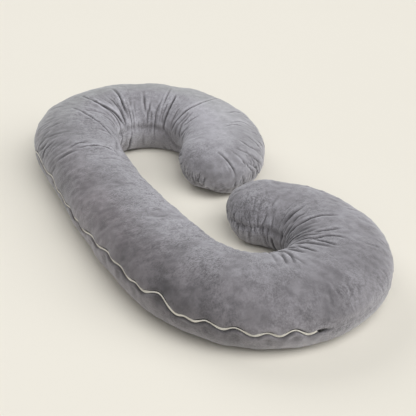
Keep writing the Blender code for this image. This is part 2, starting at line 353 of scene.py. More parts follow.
Crease = namedtuple("Crease", "at1 around1 at2 around2 at3 around3 width depth")
CREASES = named(Crease, (1000, 1, 1000, 1, 1000, 1, 10000, 10000), (
    # head bulb: folds on its top and down to its rim
    (55, 76, 44, 44, 40, 6, 36, 65), (45, 64, 36, 36, 36, 20, 30, 25),
    (271, 74, 283, 56, 279, 38, 42, 55), (205, 78, 225, 61, 219, 45, 42, 50),
    (185, 86, 201, 73, 199, 59, 40, 45), (129, 62, 121, 44, 133, 24, 40, 60),
    (91, 62, 95, 42, 107, 15, 36, 45), (77, 64, 73, 44, 73, 24, 34, 32),
    (15, 191, 31, 209, 41, 216, 40, 60),
    # the fold lines of the head bend, from the crown to the inner side
    (367, 59, 355, 114, 385, 174, 42, 110), (343, 121, 335, 138, 345, 160, 40, 45),
    (456, 98, 441, 136, 446, 178, 48, 130), (493, 76, 483, 104, 479, 126, 42, 40),
    (545, 128, 541, 138, 539, 150, 44, 36), (575, 96, 569, 124, 561, 150, 46, 42),
    (673, 84, 672, 114, 694, 146, 55, 60), (762, 74, 790, 118, 788, 168, 48, 65),
    (764, 88, 778, 122, 736, 172, 52, 85), (846, 81, 926, 113, 1040, 146, 48, 80),
    (1128, 120, 1154, 124, 1194, 123, 45, 60), (1126, 76, 1134, 98, 1166, 120, 50, 75),
    (1112, 64, 1100, 76, 1104, 88, 50, 55), (327, 118, 313, 152, 303, 176, 50, 52),
    (261, 140, 272, 158, 291, 176, 50, 36), (1022, 150, 1090, 140, 1164, 126, 60, 40),
    # foot bend
    (2341, 84, 2356, 116, 2351, 164, 48, 60), (2227, 78, 2236, 106, 2160, 130, 48, 55),
    (2197, 88, 2206, 103, 2213, 116, 50, 60), (2277, 88, 2272, 102, 2267, 114, 50, 50),
    (2138, 100, 2145, 115, 2152, 128, 46, 48), (2047, 96, 2060, 108, 2070, 120, 50, 60),
    (2026, 98, 2036, 112, 2046, 124, 50, 50), (2429, 112, 2433, 134, 2437, 152, 70, 50),
    (2651, 158, 2650, 172, 2649, 186, 38, 30), (2573, 154, 2570, 166, 2566, 178, 38, 30),
    (2507, 148, 2500, 160, 2494, 172, 38, 32), (2536, 188, 2534, 200, 2533, 216, 40, 45),
    (2495, 190, 2490, 207, 2491, 224, 52, 120),
    # spine
    (1451, 108, 1447, 120, 1443, 132, 50, 30), (1574, 98, 1576, 106, 1578, 114, 50, 25),
))
CREASE_POINTS = 15
CREASE_REACH = 5  # widths from its middle over which a crease works
SHARPNESS = 1.35  # 2 would be a round trough, 1 a sharp one
SHOULDER = (1.05, 0.9)  # size of the swelling beside a crease, and how soon it falls
TAPER = (0.05, 0.90, 0.75)  # where in a half wave a crease begins, how much it runs over, power
PINCH = 0.30  # how far the sides of a crease lean over it, as a share of its depth
FLOOR_CLEAR = 0.012  # creases fade out under this height
DEEPEST = 0.0058  # the most that creases and wrinkles draw the cloth in together
SWELL = 0.0028  # the most that it swells out between them
DARK = 0.0070  # depth from which a crease's bottom is fully dark: a painted shadow
DARK_POWER = 1.3
BOTTOM_WIDTH = 0.85  # half-width of the painted shadow at the bottom, in the crease's widths
EDGE_AT = 1.7  # middle and half-width of the painted highlight on the edges
EDGE_WIDTH = 0.55
TUBE_RADIUS = 0.105  # about the section's radius, which turns a length into an angle
DEPTHS = (0.35, 1.5)  # how much deeper or shallower than its row's depth a small crease is

# Zones of small creases: how many, and about how long, wide and deep. slant is the change in `at`
# from a crease's start to its end. They are drawn from one seeded series, in this order.
Zone = namedtuple("Zone", "at1 at2 around1 around2 count length slant width depth")
ZONES = named(Zone, (1000, 1000, 1, 1, 1, 1000, 1000, 10000, 10000), (
    (240, 560, 128, 178, 24, 55, 6, 42, 30),
    (560, 840, 118, 176, 20, 65, 6, 44, 30),
    (840, 1150, 100, 172, 16, 60, 30, 50, 30),
    (420, 860, 184, 232, 22, 45, 4, 46, 32),
    (880, 1160, 10, 60, 16, 65, 20, 52, 24),
    (360, 860, 6, 60, 16, 50, 6, 52, 14),
    (1180, 1950, 96, 168, 34, 35, 6, 44, 16),
    (2000, 2440, 110, 176, 40, 60, 10, 48, 34),
    (2000, 2600, 6, 60, 34, 45, 10, 36, 17),
    (2440, 2690, 120, 176, 26, 40, 4, 42, 15),
    (2360, 2660, 184, 226, 20, 40, 4, 42, 30),
))


def crease_line(crease):
    """Points of the smooth cover along a crease, through its three places."""
    t = np.linspace(0, 1, CREASE_POINTS)
    weights = (1 - t) * (1 - 2 * t), 4 * t * (1 - t), t * (2 * t - 1)
    at = weights[0] * crease.at1 + weights[1] * crease.at2 + weights[2] * crease.at3
    around = (
        weights[0] * crease.around1 + weights[1] * crease.around2 + weights[2] * crease.around3
    )
    return surface(np.clip(at, PROBE, LENGTH - PROBE), np.radians(around))


def nearest(points, line):
    """Vector from each point to a line of points, and how far along the line it meets, 0 to 1."""
    best = np.full(len(points), np.inf)
    share = np.zeros(len(points))
    way = np.zeros_like(points)
    for k in range(len(line) - 1):
        leg = line[k + 1] - line[k]
        t = np.clip((points - line[k]) @ leg / (leg @ leg + 1e-12), 0, 1)
        gap = line[k] + t[:, None] * leg - points
        away = np.linalg.norm(gap, axis=1)
        nearer = away < best
        best = np.where(nearer, away, best)
        share = np.where(nearer, (k + t) / (len(line) - 1), share)
        way[nearer] = gap[nearer]
    return way, best, share


def trough(q):
    """A crease's profile at q times its width from its middle: 1 at the bottom, under 0 beside."""
    fall = q**SHARPNESS
    return np.exp(-fall) - SHOULDER[0] * q**2 * np.exp(-SHOULDER[1] * fall)


def mark(marks, near, q, depth):
    """Marks a crease's bottom, painted dark as shadow, and its edges, painted light as highlight,
    at q times its width from its middle.
    """
    strong = np.minimum(depth / DARK, 1) ** DARK_POWER
    wide = BOTTOM_WIDTH * np.maximum(depth / DARK, 1)
    bottom = bell(q / wide) * strong
    edge = bell((q - EDGE_AT) / EDGE_WIDTH) * strong
    marks[near] = np.maximum(marks[near], np.stack([bottom, edge], -1))


def add_crease(points, normals, crease, push, slide, marks):
    """Adds one crease to the push along the normals and to the slide over the surface, and marks
    its bottom and its edges."""
    line = crease_line(crease)
    reach = crease.width * CREASE_REACH
    low, high = line.min(0) - reach, line.max(0) + reach
    near = np.flatnonzero(((points > low) & (points < high)).all(1))
    if not len(near):
        return
    way, away, share = nearest(points[near], line)
    depth = crease.depth * np.sin(np.pi * (TAPER[0] + TAPER[1] * share)) ** TAPER[2]
    q = away / crease.width
    push[near] -= depth * trough(q)
    mark(marks, near, q, depth)
    lean = PINCH * np.minimum(depth, DARK) * q * np.exp(-(q**2) / 2)
    flat = way - (way * normals[near]).sum(1)[:, None] * normals[near]
    slide[near] += unit(flat) * lean[:, None]


def zone_creases():
    """The small creases of the zones, from one seeded series of random numbers."""
    rng = np.random.default_rng(20611)
    found = []
    for zone in ZONES:
        for _ in range(zone.count):
            at = rng.uniform(zone.at1, zone.at2)
            middle = rng.uniform(zone.around1, zone.around2)
            length = zone.length * rng.uniform(0.55, 1.45)
            turn = math.degrees(length / TUBE_RADIUS) / 2
            slant = zone.slant * rng.normal(0.2, 0.8) / 2
            bow = zone.slant * rng.normal(0, 0.3)
            width = zone.width * rng.uniform(0.75, 1.35)
            depth = zone.depth * rng.uniform(*DEPTHS)
            start, end = (at - slant, middle - turn), (at + slant, middle + turn)
            found.append(Crease(*start, at + bow, middle, *end, width, depth))
    return found


# Stretches of the seam that gather the cloth, measured along the seam from the head arm's tip, out
# along the outer side and back along the inner side. Their creases stand across the seam, above it
# (side 1) or below it (side -1), and `reach` away from it.
Gather = namedtuple("Gather", "start end side count reach width depth")
GATHERS = named(Gather, (1000, 1000, 1, 1, 1000, 10000, 10000), (
    (-160, 40, 1, 26, 33, 26, 66),
    (40, 160, 1, 14, 30, 26, 60),
    (-100, 120, -1, 12, 20, 30, 36),
    (160, 440, 1, 48, 62, 28, 62),
    (3920, 4240, 1, 18, 20, 27, 30),
    (3920, 4240, -1, 22, 30, 27, 42),
))
LEAN = 0.22  # the most they slant, in metres along the seam for each away from it
BOW = 6  # and the most they bend, for each square metre


def gather(run, away, side, whole, push, marks):
    """Creases across the seam, drawn from one seeded series of random numbers."""
    rng = np.random.default_rng(977)
    for row in GATHERS:
        for _ in range(row.count):
            place = rng.uniform(row.start, row.end)
            reach = row.reach * rng.uniform(0.45, 1.6)
            width = row.width * rng.uniform(0.75, 1.4)
            depth = row.depth * rng.uniform(*DEPTHS)
            lean = LEAN * rng.uniform(-1, 1)
            bow = BOW * rng.uniform(-1, 1)
            begin = reach * rng.uniform(0.0, 0.35)
            near = np.flatnonzero((away < reach) & (side == row.side))
            past = away[near]
            aside = (run[near] - place - lean * past - bow * past**2 + whole / 2) % whole - whole / 2
            close = np.abs(aside) < width * CREASE_REACH
            near, past, q = near[close], past[close], np.abs(aside[close]) / width
            depth = depth * np.sqrt(np.clip(1 - ((past - begin) / (reach - begin)) ** 2, 0, 1))
            push[near] -= depth * trough(q)
            mark(marks, near, q, depth)


# ---- unevenness of the filling

def waves(points, seed, count, shortest, longest):
    """A smooth random field, about -1 to 1, made of plane waves of mixed lengths."""
    rng = np.random.default_rng(seed)
    total = np.zeros(len(points))
    for _ in range(count):
        way = unit(rng.normal(size=3))
        length = math.exp(rng.uniform(math.log(shortest), math.log(longest)))
        total += np.sin(points @ way * (2 * np.pi / length) + rng.uniform(0, 2 * np.pi))
    return total / math.sqrt(count / 2) / 1.6  # 1.6 of its deviations are a sum's usual most


LUMPS = 0.0014  # height of the filling's soft lumps, and of the cloth's ripples
RIPPLES = 0.0007
PUCKER = 0.0010  # height of the seam's puckers, their pitch, wandering and reach
PUCKER_PITCH = 0.0135
PUCKER_WANDER = 2.2
PUCKER_REACH = 0.007
PUCKER_LESS = (0.7, 0.8)  # how much lower they are beside the zip, and on the inner side
FADE_IN = 0.3  # height, in FLOOR_CLEARs, at which creases and lumps begin


# ---- the cover relaxed as cloth

# Where the cover is cut longer or wider than its filling, as a share. It fades over `reach` metres
# along the pillow and over `turn` degrees round it.
Slack = namedtuple("Slack", "at reach around turn share")
LONGER = named(Slack, (1000, 1000, 1, 1, 1000), (
    (160, 100, 8, 48, 80), (100, 70, 172, 40, 120), (310, 110, 162, 30, 80), (450, 130, 140, 40, 70),
    (450, 350, 8, 35, 40), (780, 130, 138, 44, 120), (1000, 280, 20, 40, 35), (1500, 600, 150, 45, 50),
    (2230, 200, 158, 38, 140), (2300, 300, 12, 40, 25), (2600, 80, 190, 34, 90),
    (2620, 70, 10, 45, 100),
))
WIDER = (Slack(0.00, 0.06, 90, 60, 0.16), Slack(2.70, 0.06, 90, 60, 0.14))
COLUMNS = 96  # the simulated net has one row per ring and this many columns
SWEEPS = 260
PRESSURE = 0.00003  # push of the filling, in metres a sweep
STIFFNESS = 0.9
SHEAR = 0.2
BENDING = 0.015
HOOP = 0.010  # how strongly wrinkles keep their way round the section
FILLING = 0.005  # share of the distance from the filling that is taken back a sweep
STITCHED = 0.25  # the same on the seams, and how far round the section it reaches
STITCH_TURN = 4.5
SQUASH = (0.3, 0.6)  # how weakly threads across, and slanting ones, stand being pushed together
FLAT_TO = (0.003, 0.012)  # the cloth lies flat up to this height, and is free this much higher
FIRST_DENT = 0.3  # share of each crease that is there at the start
ROUGH = 0.0009  # height of the waves that start the buckling
LONG_WAVE = (9, 2)  # rows and columns over which the wrinkles are told from the form
WRINKLES = 1.6  # how much the wrinkles are raised in the end
TIP_CLEAR = (0.008, 0.05)  # the net's columns meet at the tips, so its wrinkles fade there
SHARPER = 8.0  # how much the wrinkles' valleys are deepened and narrowed


def blurred(field, rows, columns):
    """The field on the net, softened along and round it."""
    for axis, size in ((0, rows), (1, columns)):
        taps = np.arange(-3 * size, 3 * size + 1)
        weights = np.exp(-((taps / size) ** 2) / 2)
        weights /= weights.sum()
        mode = "edge" if axis == 0 else "wrap"
        pads = [(3 * size, 3 * size) if k == axis else (0, 0) for k in range(3)]
        wide = np.pad(field, pads, mode=mode)
        count = field.shape[axis]
        parts = [np.take(wide, np.arange(k, k + count), axis) for k in range(len(taps))]
        field = sum(weight * part for weight, part in zip(weights, parts))
    return field


def drawn(a, b, rest, share, squash=1.0):
    """The move of points a towards points b that takes back a share of the thread's strain."""
    gap = b - a
    strain = 1 - rest / np.maximum(np.sqrt((gap * gap).sum(-1)), 1e-9)
    return gap * (np.where(strain < 0, strain * squash, strain) * share / 2)[..., None]


def slack_of(table, s, turns, points):
    """How much longer or wider the net is cut at each of its points, as an uneven share."""
    slack = np.zeros((len(s), len(turns)))
    for row in table:
        aside = (turns - row.around + 180) % 360 - 180
        fade = bell((s - row.at) / row.reach)[:, None]
        slack = np.maximum(slack, row.share * fade * bell(aside / row.turn))
    uneven = waves(points.reshape(-1, 3), 43, 50, 0.05, 0.20).reshape(slack.shape)
    return slack * np.clip(0.9 + 1.1 * uneven, 0, 2)


def relaxed(s):
    """Wrinkles of the cover on a net of rows and columns, simulated as cloth over its filling.

    The net starts on the smooth form. Its threads along the pillow are longer than the form by the
    slack, so they buckle between the seams, held by the filling and by the stitches.
    """
    turns = np.linspace(0, 360, COLUMNS, endpoint=False)
    at = np.repeat(s, COLUMNS)
    around = np.radians(np.tile(turns, len(s)))
    form = surface(at, around)
    normals = outward(at, around)
    push, slide, marks = np.zeros(len(form)), np.zeros_like(form), np.zeros((len(form), 2))
    for crease in CREASES:
        add_crease(form, normals, crease, push, slide, marks)
    push = FIRST_DENT * push + ROUGH * waves(form, 31, 60, 0.014, 0.05)
    shape = (len(s), COLUMNS, 3)
    net = (form + normals * push[:, None]).reshape(shape)
    form, normals = form.reshape(shape), normals.reshape(shape)

    lift = step((form[..., 2] - FLAT_TO[0]) / FLAT_TO[1])
    longer = slack_of(LONGER, s, turns, form) * lift
    wider = 1 + slack_of(WIDER, s, turns, form) * lift
    ahead, beside = form[1:] - form[:-1], np.roll(form, -1, 1) - form
    stretch = 1 + (longer[1:] + longer[:-1]) / 2
    along = np.linalg.norm(ahead, axis=-1) * stretch
    across = np.linalg.norm(beside, axis=-1) * wider
    product = (ahead * beside[:-1]).sum(-1) * stretch * wider[:-1]
    square = along**2 + across[:-1] ** 2
    rising = np.sqrt(np.maximum(square + 2 * product, 1e-10))
    falling = np.sqrt(np.maximum(square - 2 * product, 1e-10))

    hold = FILLING * np.exp(1.1 * waves(form.reshape(-1, 3), 47, 40, 0.10, 0.30)).reshape(shape[:2])
    for table, mirror in ((OUTER_WAVE, False), (INNER_WAVE, True)):
        seam = np.degrees(seam_turn(table, s))
        seam = 180 - seam if mirror else seam
        aside = (turns[None] - seam[:, None] + 180) % 360 - 180
        hold += STITCHED * bell(aside / STITCH_TURN)
    hold, lift = hold[..., None], lift[..., None]

    for _ in range(SWEEPS):
        net += normals * (PRESSURE * lift)
        for start in (0, 1):
            a, b = net[start:-1:2], net[start + 1 :: 2]
            move = drawn(a, b, along[start::2], STIFFNESS)
            a += move
            b -= move
        a, b = net[:, 0::2], net[:, 1::2]
        move = drawn(a, b, across[:, 0::2], STIFFNESS, SQUASH[0])
        a += move
        b -= move
        a, b = net[:, 1::2], np.roll(net[:, 0::2], -1, 1)
        move = drawn(a, b, across[:, 1::2], STIFFNESS, SQUASH[0])
        a += move
        net[:, 0::2] -= np.roll(move, 1, 1)
        turned = np.roll(net, -1, 1)
        up = drawn(net[:-1], turned[1:], rising, SHEAR, SQUASH[1])
        down = drawn(net[1:], turned[:-1], falling, SHEAR, SQUASH[1])
        net[:-1] += up
        net[1:] += down
        net[1:] -= np.roll(up, 1, 1)
        net[:-1] -= np.roll(down, 1, 1)
        moved = net - form
        bend = np.zeros_like(moved)
        bend[1:-1] = moved[2:] - 2 * moved[1:-1] + moved[:-2]
        net[1:-1] -= BENDING * (bend[2:] - 2 * bend[1:-1] + bend[:-2])
        net += HOOP * (np.roll(moved, -1, 1) - 2 * moved + np.roll(moved, 1, 1))
        net -= normals * ((net - form) * normals).sum(-1, keepdims=True) * hold
        net = form + (net - form) * lift**0.05
    moved = net - form
    tips = step((np.minimum(s, LENGTH - s) - TIP_CLEAR[0]) / TIP_CLEAR[1])[:, None, None]
    return (moved - blurred(moved, *LONG_WAVE)) * WRINKLES * tips


def on_rings(moved, angles):
    """The net's moves at the angles of the rings, along a smooth curve through four columns."""
    place = (angles / (2 * np.pi) * COLUMNS) % COLUMNS
    left = np.floor(place).astype(int)
    t = (place - left)[..., None]
    rows = np.arange(len(moved))[:, None]
    a, b, c, d = (moved[rows, (left + k) % COLUMNS] for k in (-1, 0, 1, 2))
    return b + t / 2 * (c - a + t * (2 * a - 5 * b + 4 * c - d + t * (3 * (b - c) + d - a)))


# ---- the cover

HOLLOW_TURN = 0.22  # how far under the seam a hollow lies, in radians
HOLLOW_DEPTH = 0.0056
HOLLOW_REACH = 0.0115
SOFT_FROM = 0.02  # height from which the inner side's seam goes slack


def hollows(points, push):
    """Soft hollows in the lower panel under each crest of the zip's wave."""
    at = np.array([row.at for row in OUTER_WAVE])
    rises = np.array([row.rise for row in OUTER_WAVE])
    for k in range(1, len(at) - 1):
        crest = rises[k] > rises[k - 1] and rises[k] > rises[k + 1]
        if crest and ZIP_START < at[k] < ZIP_END:
            place = surface(at[k : k + 1], seam_angle(at[k : k + 1]) - HOLLOW_TURN)[0]
            away = np.linalg.norm(points - place, axis=1)
            push -= HOLLOW_DEPTH * bell(away / HOLLOW_REACH)


def cover():
    """Stations, angles and points of the cover's rings, all creased, how far each point rises over
    the smooth form, and how near it is to the bottom and to the edge of a crease."""
    s = ring_stations()
    angles = ring_angles(s)
    count = angles.shape[1]
    at = np.repeat(s, count)
    around = angles.ravel()
    points = surface(at, around)
    normals = outward(at, around)
    push = np.zeros(len(points))
    slide = np.zeros_like(points)

    full = fullness(at)
    loop, loop_at = seam_loop()
    tree = KDTree(len(loop))
    for k, place in enumerate(loop):
        tree.insert(place, k)
    tree.balance()
    found = [tree.find(point)[1:] for point in points]
    meets = np.array([row[0] for row in found])
    away = np.array([row[1] for row in found])
    seam_at = loop_at[meets]
    zipped = zip_share(seam_at)
    inside = step((points[:, 2] - SOFT_FROM) / SOFT_FROM) * (seam_at < 0)
    faint = step((seam_at - FAINT[0]) / (FAINT[1] - FAINT[0]))
    faint *= 1 - step((seam_at - FAINT[2]) / (FAINT[3] - FAINT[2]))
    sewn = groove(away, zipped, inside, zip_depth(seam_at))
    sewn *= (1 - SOFT_INSIDE * inside) * (1 - FAINT_SHARE * faint)
    push -= sewn

    # puckers of the seam's stitching
    legs = np.linalg.norm(np.diff(loop, axis=0, append=loop[:1]), axis=1)
    reached = np.cumsum(legs) - legs
    ahead = unit(np.roll(loop, -3, 0) - np.roll(loop, 3, 0))[meets]
    run = reached[meets] + ((points - loop[meets]) * ahead).sum(1)
    wander = PUCKER_WANDER * waves(loop, 5, 12, 0.03, 0.12)[meets]
    side = np.where(points[:, 2] > loop[meets, 2], 1.0, -1.0)
    pucker = PUCKER * np.sin(run * 2 * np.pi / PUCKER_PITCH + wander + side)
    pucker *= np.exp(-away / PUCKER_REACH)
    push += pucker * (1 - PUCKER_LESS[0] * zipped) * (1 - PUCKER_LESS[1] * inside)

    open_air = step((points[:, 2] - FLOOR_CLEAR * FADE_IN) / FLOOR_CLEAR)
    creased, marks = np.zeros(len(points)), np.zeros((len(points), 2))
    for crease in CREASES + zone_creases():
        add_crease(points, normals, crease, creased, slide, marks)
    gather(run, away, side, legs.sum(), creased, marks)
    hollows(points, creased)
    push += LUMPS * waves(points, 11, 40, 0.07, 0.20) * open_air
    push += RIPPLES * waves(points, 17, 60, 0.018, 0.045) * open_air
    wrinkles = on_rings(relaxed(s), angles).reshape(-1, 3)
    height = (wrinkles * normals).sum(1)
    wrinkles -= normals * height[:, None]
    folded = creased * full**0.3 + height - SHARPER * np.maximum(-height, 0) ** 1.5
    most = np.where(folded > 0, SWELL, DEEPEST)
    folded = most * np.tanh(folded / most)
    push += folded * open_air
    moved = points + normals * push[:, None] + (slide + wrinkles) * open_air[:, None]
    moved[:, 2] = np.maximum(moved[:, 2], 0)
    relief = (folded - sewn) * open_air
    return s, angles, moved.reshape(len(s), count, 3), relief, marks * open_air[:, None]


# ---- meshes

def link(name, mesh, material):
    """An object in the scene, smooth, with one material."""
    mesh.materials.append(material)
    mesh.shade_smooth()
    obj = bpy.data.objects.new(name, mesh)
    bpy.context.scene.collection.objects.link(obj)
    return obj


def from_bmesh(name, bm):
    mesh = bpy.data.meshes.new(name)
    bm.to_mesh(mesh)
    bm.free()
    return mesh


def closed_mesh(name, points, faces):
    """A closed mesh with its faces turned outwards."""
    bm = bmesh.new()
    verts = [bm.verts.new(point) for point in points]
    for face in faces:
        bm.faces.new([verts[k] for k in face])
    bmesh.ops.recalc_face_normals(bm, faces=bm.faces)
    return from_bmesh(name, bm)


def ring_mesh(name, rings, tips=None):
    """A closed skin over rings of points, with the two tip points, or flat caps."""
    points = [point for ring in rings for point in ring]
    grid = np.arange(len(points)).reshape(len(rings), -1)
    faces = []
    for low, up in zip(grid, grid[1:]):
        faces += zip(low, up, np.roll(up, -1), np.roll(low, -1))
    first, last = grid[0], grid[-1]
    if tips is None:
        faces += [first, last[::-1]]
    else:
        for a, b, c, d in zip(first, np.roll(first, -1), last, np.roll(last, -1)):
            faces += [(a, b, len(points)), (d, c, len(points) + 1)]
        points += list(tips)
    return closed_mesh(name, points, faces)


# ---- how the pile is brushed, and the light and shade painted on it

# Light and shade are painted by the way the cover faces: lighter where it faces along the vector
# below, darker where it faces against it. Patches of painted light and shade, partly brushed pile,
# are added over `reach` metres round a place of the cover.
FACING_SHADE = (-0.155, 0.455, -0.200)
EVEN = 1.16  # the painted shade where the cover faces neither way
STRAY = 0.018  # how far the patches' outlines wander
Patch = namedtuple("Patch", "at around reach shade")
PATCHES = named(Patch, (1000, 1, 1000, 100), (
    (0, 90, 50, 42), (90, 92, 110, 46), (90, 20, 50, -20), (270, 97, 110, 76), (340, 126, 50, -18),
    (480, 104, 140, 26), (440, 50, 100, 16), (740, 50, 120, 16), (690, 198, 80, 62), (880, 190, 50, 32),
    (860, 100, 100, 6), (1020, 34, 80, -20), (1230, 24, 100, -24), (1400, 72, 60, -13),
    (1450, 112, 70, 22), (1560, 36, 70, -14), (1610, 78, 50, -12), (1630, 112, 70, 24),
    (1680, 48, 110, -26), (1800, 18, 90, -26), (1860, 44, 100, -10), (1860, 84, 60, -5),
    (1900, 340, 70, -22), (1210, 92, 60, 22), (2270, 84, 60, 17), (2070, 0, 60, -25),
    (2060, 77, 140, -10), (2140, 26, 60, -12), (2140, 126, 40, 14), (2210, 46, 100, -24),
    (2260, 146, 60, -42), (2420, 126, 50, -13), (2540, 172, 70, 36), (2620, 100, 60, 22),
    (2660, 186, 50, 30), (20, 0, 30, 20), (1480, 60, 60, -12), (2460, 104, 70, 10),
    (2615, 144, 40, -20), (2450, 168, 50, 10),
))
# How strongly the pile is brushed into short strokes round the pillow, most on its inner side,
# and how blotchy it is, each at places along the centreline.
BRUSHED = (
    (0.00, 0.65), (0.08, 0.60), (0.20, 0.35), (0.36, 0.45), (0.60, 0.60), (0.95, 0.85),
    (1.20, 1.15), (1.85, 1.15), (2.00, 0.60), (2.45, 0.55), (2.60, 1.05), (2.70, 1.05),
)
BLOTCHED = (
    (0.00, 1.00), (0.10, 0.70), (0.35, 0.55), (0.60, 0.85), (0.95, 1.15), (1.20, 1.20),
    (1.85, 1.20), (2.10, 1.00), (2.50, 0.90), (2.70, 1.10),
)
FOOT_RIM = (2.12, 0.17, 0.3)  # middle, reach and strength of strokes on the foot bend's outer rim
BACKDROP_REFLECTION = (0.62, 0.34)  # middle and reach of the plain grey painted reflection of the pale backdrop, on the back of the head bend
WARMER = (1.50, 0.36)  # and of the warmer outer side of the spine
RELIEF_LIGHT_AND_SHADE = 0.11  # how much lighter ridges and darker valleys are painted: painted light and shade of the relief, partly rubbed pile
RIDGE = 0.0016  # height of a ridge that is that much lighter
RIDGES = (-4.0, 1.6)  # the deepest valley and the highest ridge that still count, in RIDGEs
SHADES = (0.2, 1.9)  # the darkest and the lightest shade
LINE_SHADE = 0.84  # how much darker a crease's bottom is painted, as shadow, and how much lighter its edges, as highlight
EDGE_SHADE = 0.42
FLOOR_SHADE = 0.50  # how much darker the cover is painted where it turns under, at the floor: a painted contact shadow
FLOOR_REACH = 0.011  # height over which that fades
MEAN_REACH = 0.115  # turns angles into metres round the section, for the strokes


def pile_and_painted_light_of(mesh, relief, marks, at, around):
    """How light the pile looks at each point of the cover, about 1, painted light and shade included,
    how rough it is brushed, and how far its colour turns from lilac to plain grey, a painted
    reflection, or below 0 to a warmer lilac."""
    points, normals = np.empty((2, len(mesh.vertices), 3))
    mesh.vertices.foreach_get("co", points.ravel())
    mesh.vertex_normals.foreach_get("vector", normals.ravel())
    # painted light and shade by the way each point faces
    shade = EVEN + normals @ np.array(FACING_SHADE)
    # painted light on ridges and painted shade in valleys, seams and hollows
    shade += RELIEF_LIGHT_AND_SHADE * np.clip(relief / RIDGE, *RIDGES)
    stray = np.stack([waves(points, 61 + k, 30, 0.05, 0.16) for k in range(3)], -1)
    strayed = points + STRAY * stray
    # patches of painted light and shade, partly brushed pile
    places = np.array([(patch.at, np.radians(patch.around)) for patch in PATCHES])
    for patch, place in zip(PATCHES, surface(*places.T)):
        away = np.linalg.norm(strayed - place, axis=1)
        shade += patch.shade * bell(away / patch.reach)
    # painted shadow in the creases' bottoms and painted highlight on their edges
    shade *= (1 - LINE_SHADE * marks[:, 0]) * (1 + EDGE_SHADE * marks[:, 1])
    # painted contact shadow near the floor
    shade *= 1 - FLOOR_SHADE * np.exp(-points[:, 2] / FLOOR_REACH)
    out = np.cos(around)
    inner = step((np.cos(around - np.pi) + 0.9) / 1.5)
    rough = np.interp(at, *zip(*BRUSHED)) * (0.3 + 0.7 * inner)
    rim_at, rim_reach, rim_strength = FOOT_RIM
    rough += rim_strength * bell((at - rim_at) / rim_reach) * step((out - 0.3) / 0.4)
    rough *= np.clip(0.85 + 0.55 * waves(points, 71, 40, 0.04, 0.16), 0.2, 1.5)
    # a painted reflection of the pale backdrop turns the back of the head bend plain grey
    grey = bell((at - BACKDROP_REFLECTION[0]) / BACKDROP_REFLECTION[1]) * step((out + 0.20) / 0.5)
    grey *= step(np.sin(around) + 0.6)
    warm = bell((at - WARMER[0]) / WARMER[1]) * step((out + 0.10) / 0.8)
    return np.clip(shade, *SHADES), rough, grey - warm


def store(mesh, name, values):
    """Keeps a number, or three, for each point of the mesh, for its material to read."""
    kind, field = ("FLOAT", "value") if values.ndim == 1 else ("FLOAT_VECTOR", "vector")
    layer = mesh.attributes.new(name, kind, "POINT")
    layer.data.foreach_set(field, values.astype(np.float32).ravel())


def make_pillow(s, angles, rings, relief, marks, material):
    """The cover, with a point in the middle of each tip that has neither relief nor marks."""
    ends = np.array([0, LENGTH])
    heights = surface(ends, np.zeros(2))[:, 2]
    tips = np.stack([np.interp(ends, FINE, LINE_X), np.interp(ends, FINE, LINE_Y), heights], -1)
    mesh = ring_mesh("pillow_cover", rings, tips)
    at = np.concatenate([np.repeat(s, angles.shape[1]), ends])
    around = np.concatenate([angles.ravel(), [0, 0]])
    relief, marks = np.append(relief, [0, 0]), np.append(marks, np.zeros((2, 2)), 0)
    store(mesh, "way", np.stack([at, around * MEAN_REACH, np.zeros(len(at))], -1))
    # the nap attribute carries the painted light and shade, how rough the pile is, and the tint
    store(mesh, "nap", np.stack(pile_and_painted_light_of(mesh, relief, marks, at, around), -1))
    store(mesh, "blotched", np.interp(at, *zip(*BLOTCHED)))
    return link("pillow_cover", mesh, material)


# ---- the zip

TAPE_STEP = 0.002
TAPE_HALF = 0.0034  # half its width
TAPE_THICK = 0.0007
TAPE_CLEAR = 0.0004  # gap under the tape
TAPE_ROUND = 0.9  # width of its two faces, against its full width at half height
COIL_PITCH = 0.0016
COIL_LENGTH = 0.0024  # length of a turn across the zip
COIL_HEIGHT = 0.0009
COIL_LAP = 0.0004  # how far a turn starts past the zip's middle
COIL_SINK = 0.35  # height of its middle over the tape, as a share of COIL_HEIGHT
COIL_TURN = ((0.0, 0.45), (0.35, 1.0), (0.75, 0.95), (1.0, 0.40))  # places along it, and sizes
COIL_GIRTH = (0.42, 0.6)  # its half-width, in pitches, and half-height, in heights
COIL_SIDES = 6
SLIDER_AWAY = 0.0055  # from the zip's end to the slider's middle
Block = namedtuple("Block", "at height length width thick round_off")
SLIDER = (
    Block(0, 0.0013, 0.0074, 0.0052, 0.0012, 0.0005),  # lower plate
    Block(0, 0.0031, 0.0074, 0.0052, 0.0012, 0.0005),  # upper plate
    Block(-0.0028, 0.0022, 0.0020, 0.0020, 0.0010, 0.0003),  # post between them
    Block(0.0004, 0.0043, 0.0052, 0.0014, 0.0012, 0.0004),  # pull, flat along the zip
)
CREST_SPAN = 41  # stations over which a crest of the wave is told from the seam
CREST_RISE = 0.012  # a crest this much over the seam's mean is full
CREST_CLOSED = 0.55  # and how much narrower the zip shows there
HEAD_CLOSED = 0.45  # how much narrower the zip shows towards the head


def channel_line(s):
    """Middle of the zip channel's floor, and the ways along it, across it and out of it."""
    seam = seam_angle(s)
    base = surface(s, seam)
    out = outward(s, seam)
    middle = base - out * zip_depth(s)[:, None]
    along = unit(np.gradient(middle, axis=0))
    across = unit(np.cross(out, along))
    return middle, along, across, unit(np.cross(along, across))


def zip_open(s):
    """How wide the zip shows, as a share: the cloth closes over it on the wave's crests."""
    rise = read(OUTER_WAVE, "rise", s)
    padded = np.pad(rise, CREST_SPAN // 2, mode="edge")
    crest = rise - np.convolve(padded, np.ones(CREST_SPAN) / CREST_SPAN, "valid")
    on_crest = CREST_CLOSED * step(0.5 + crest / CREST_RISE)
    return (1 - on_crest) * (1 - HEAD_CLOSED * in_head_bend(s, 0.25))


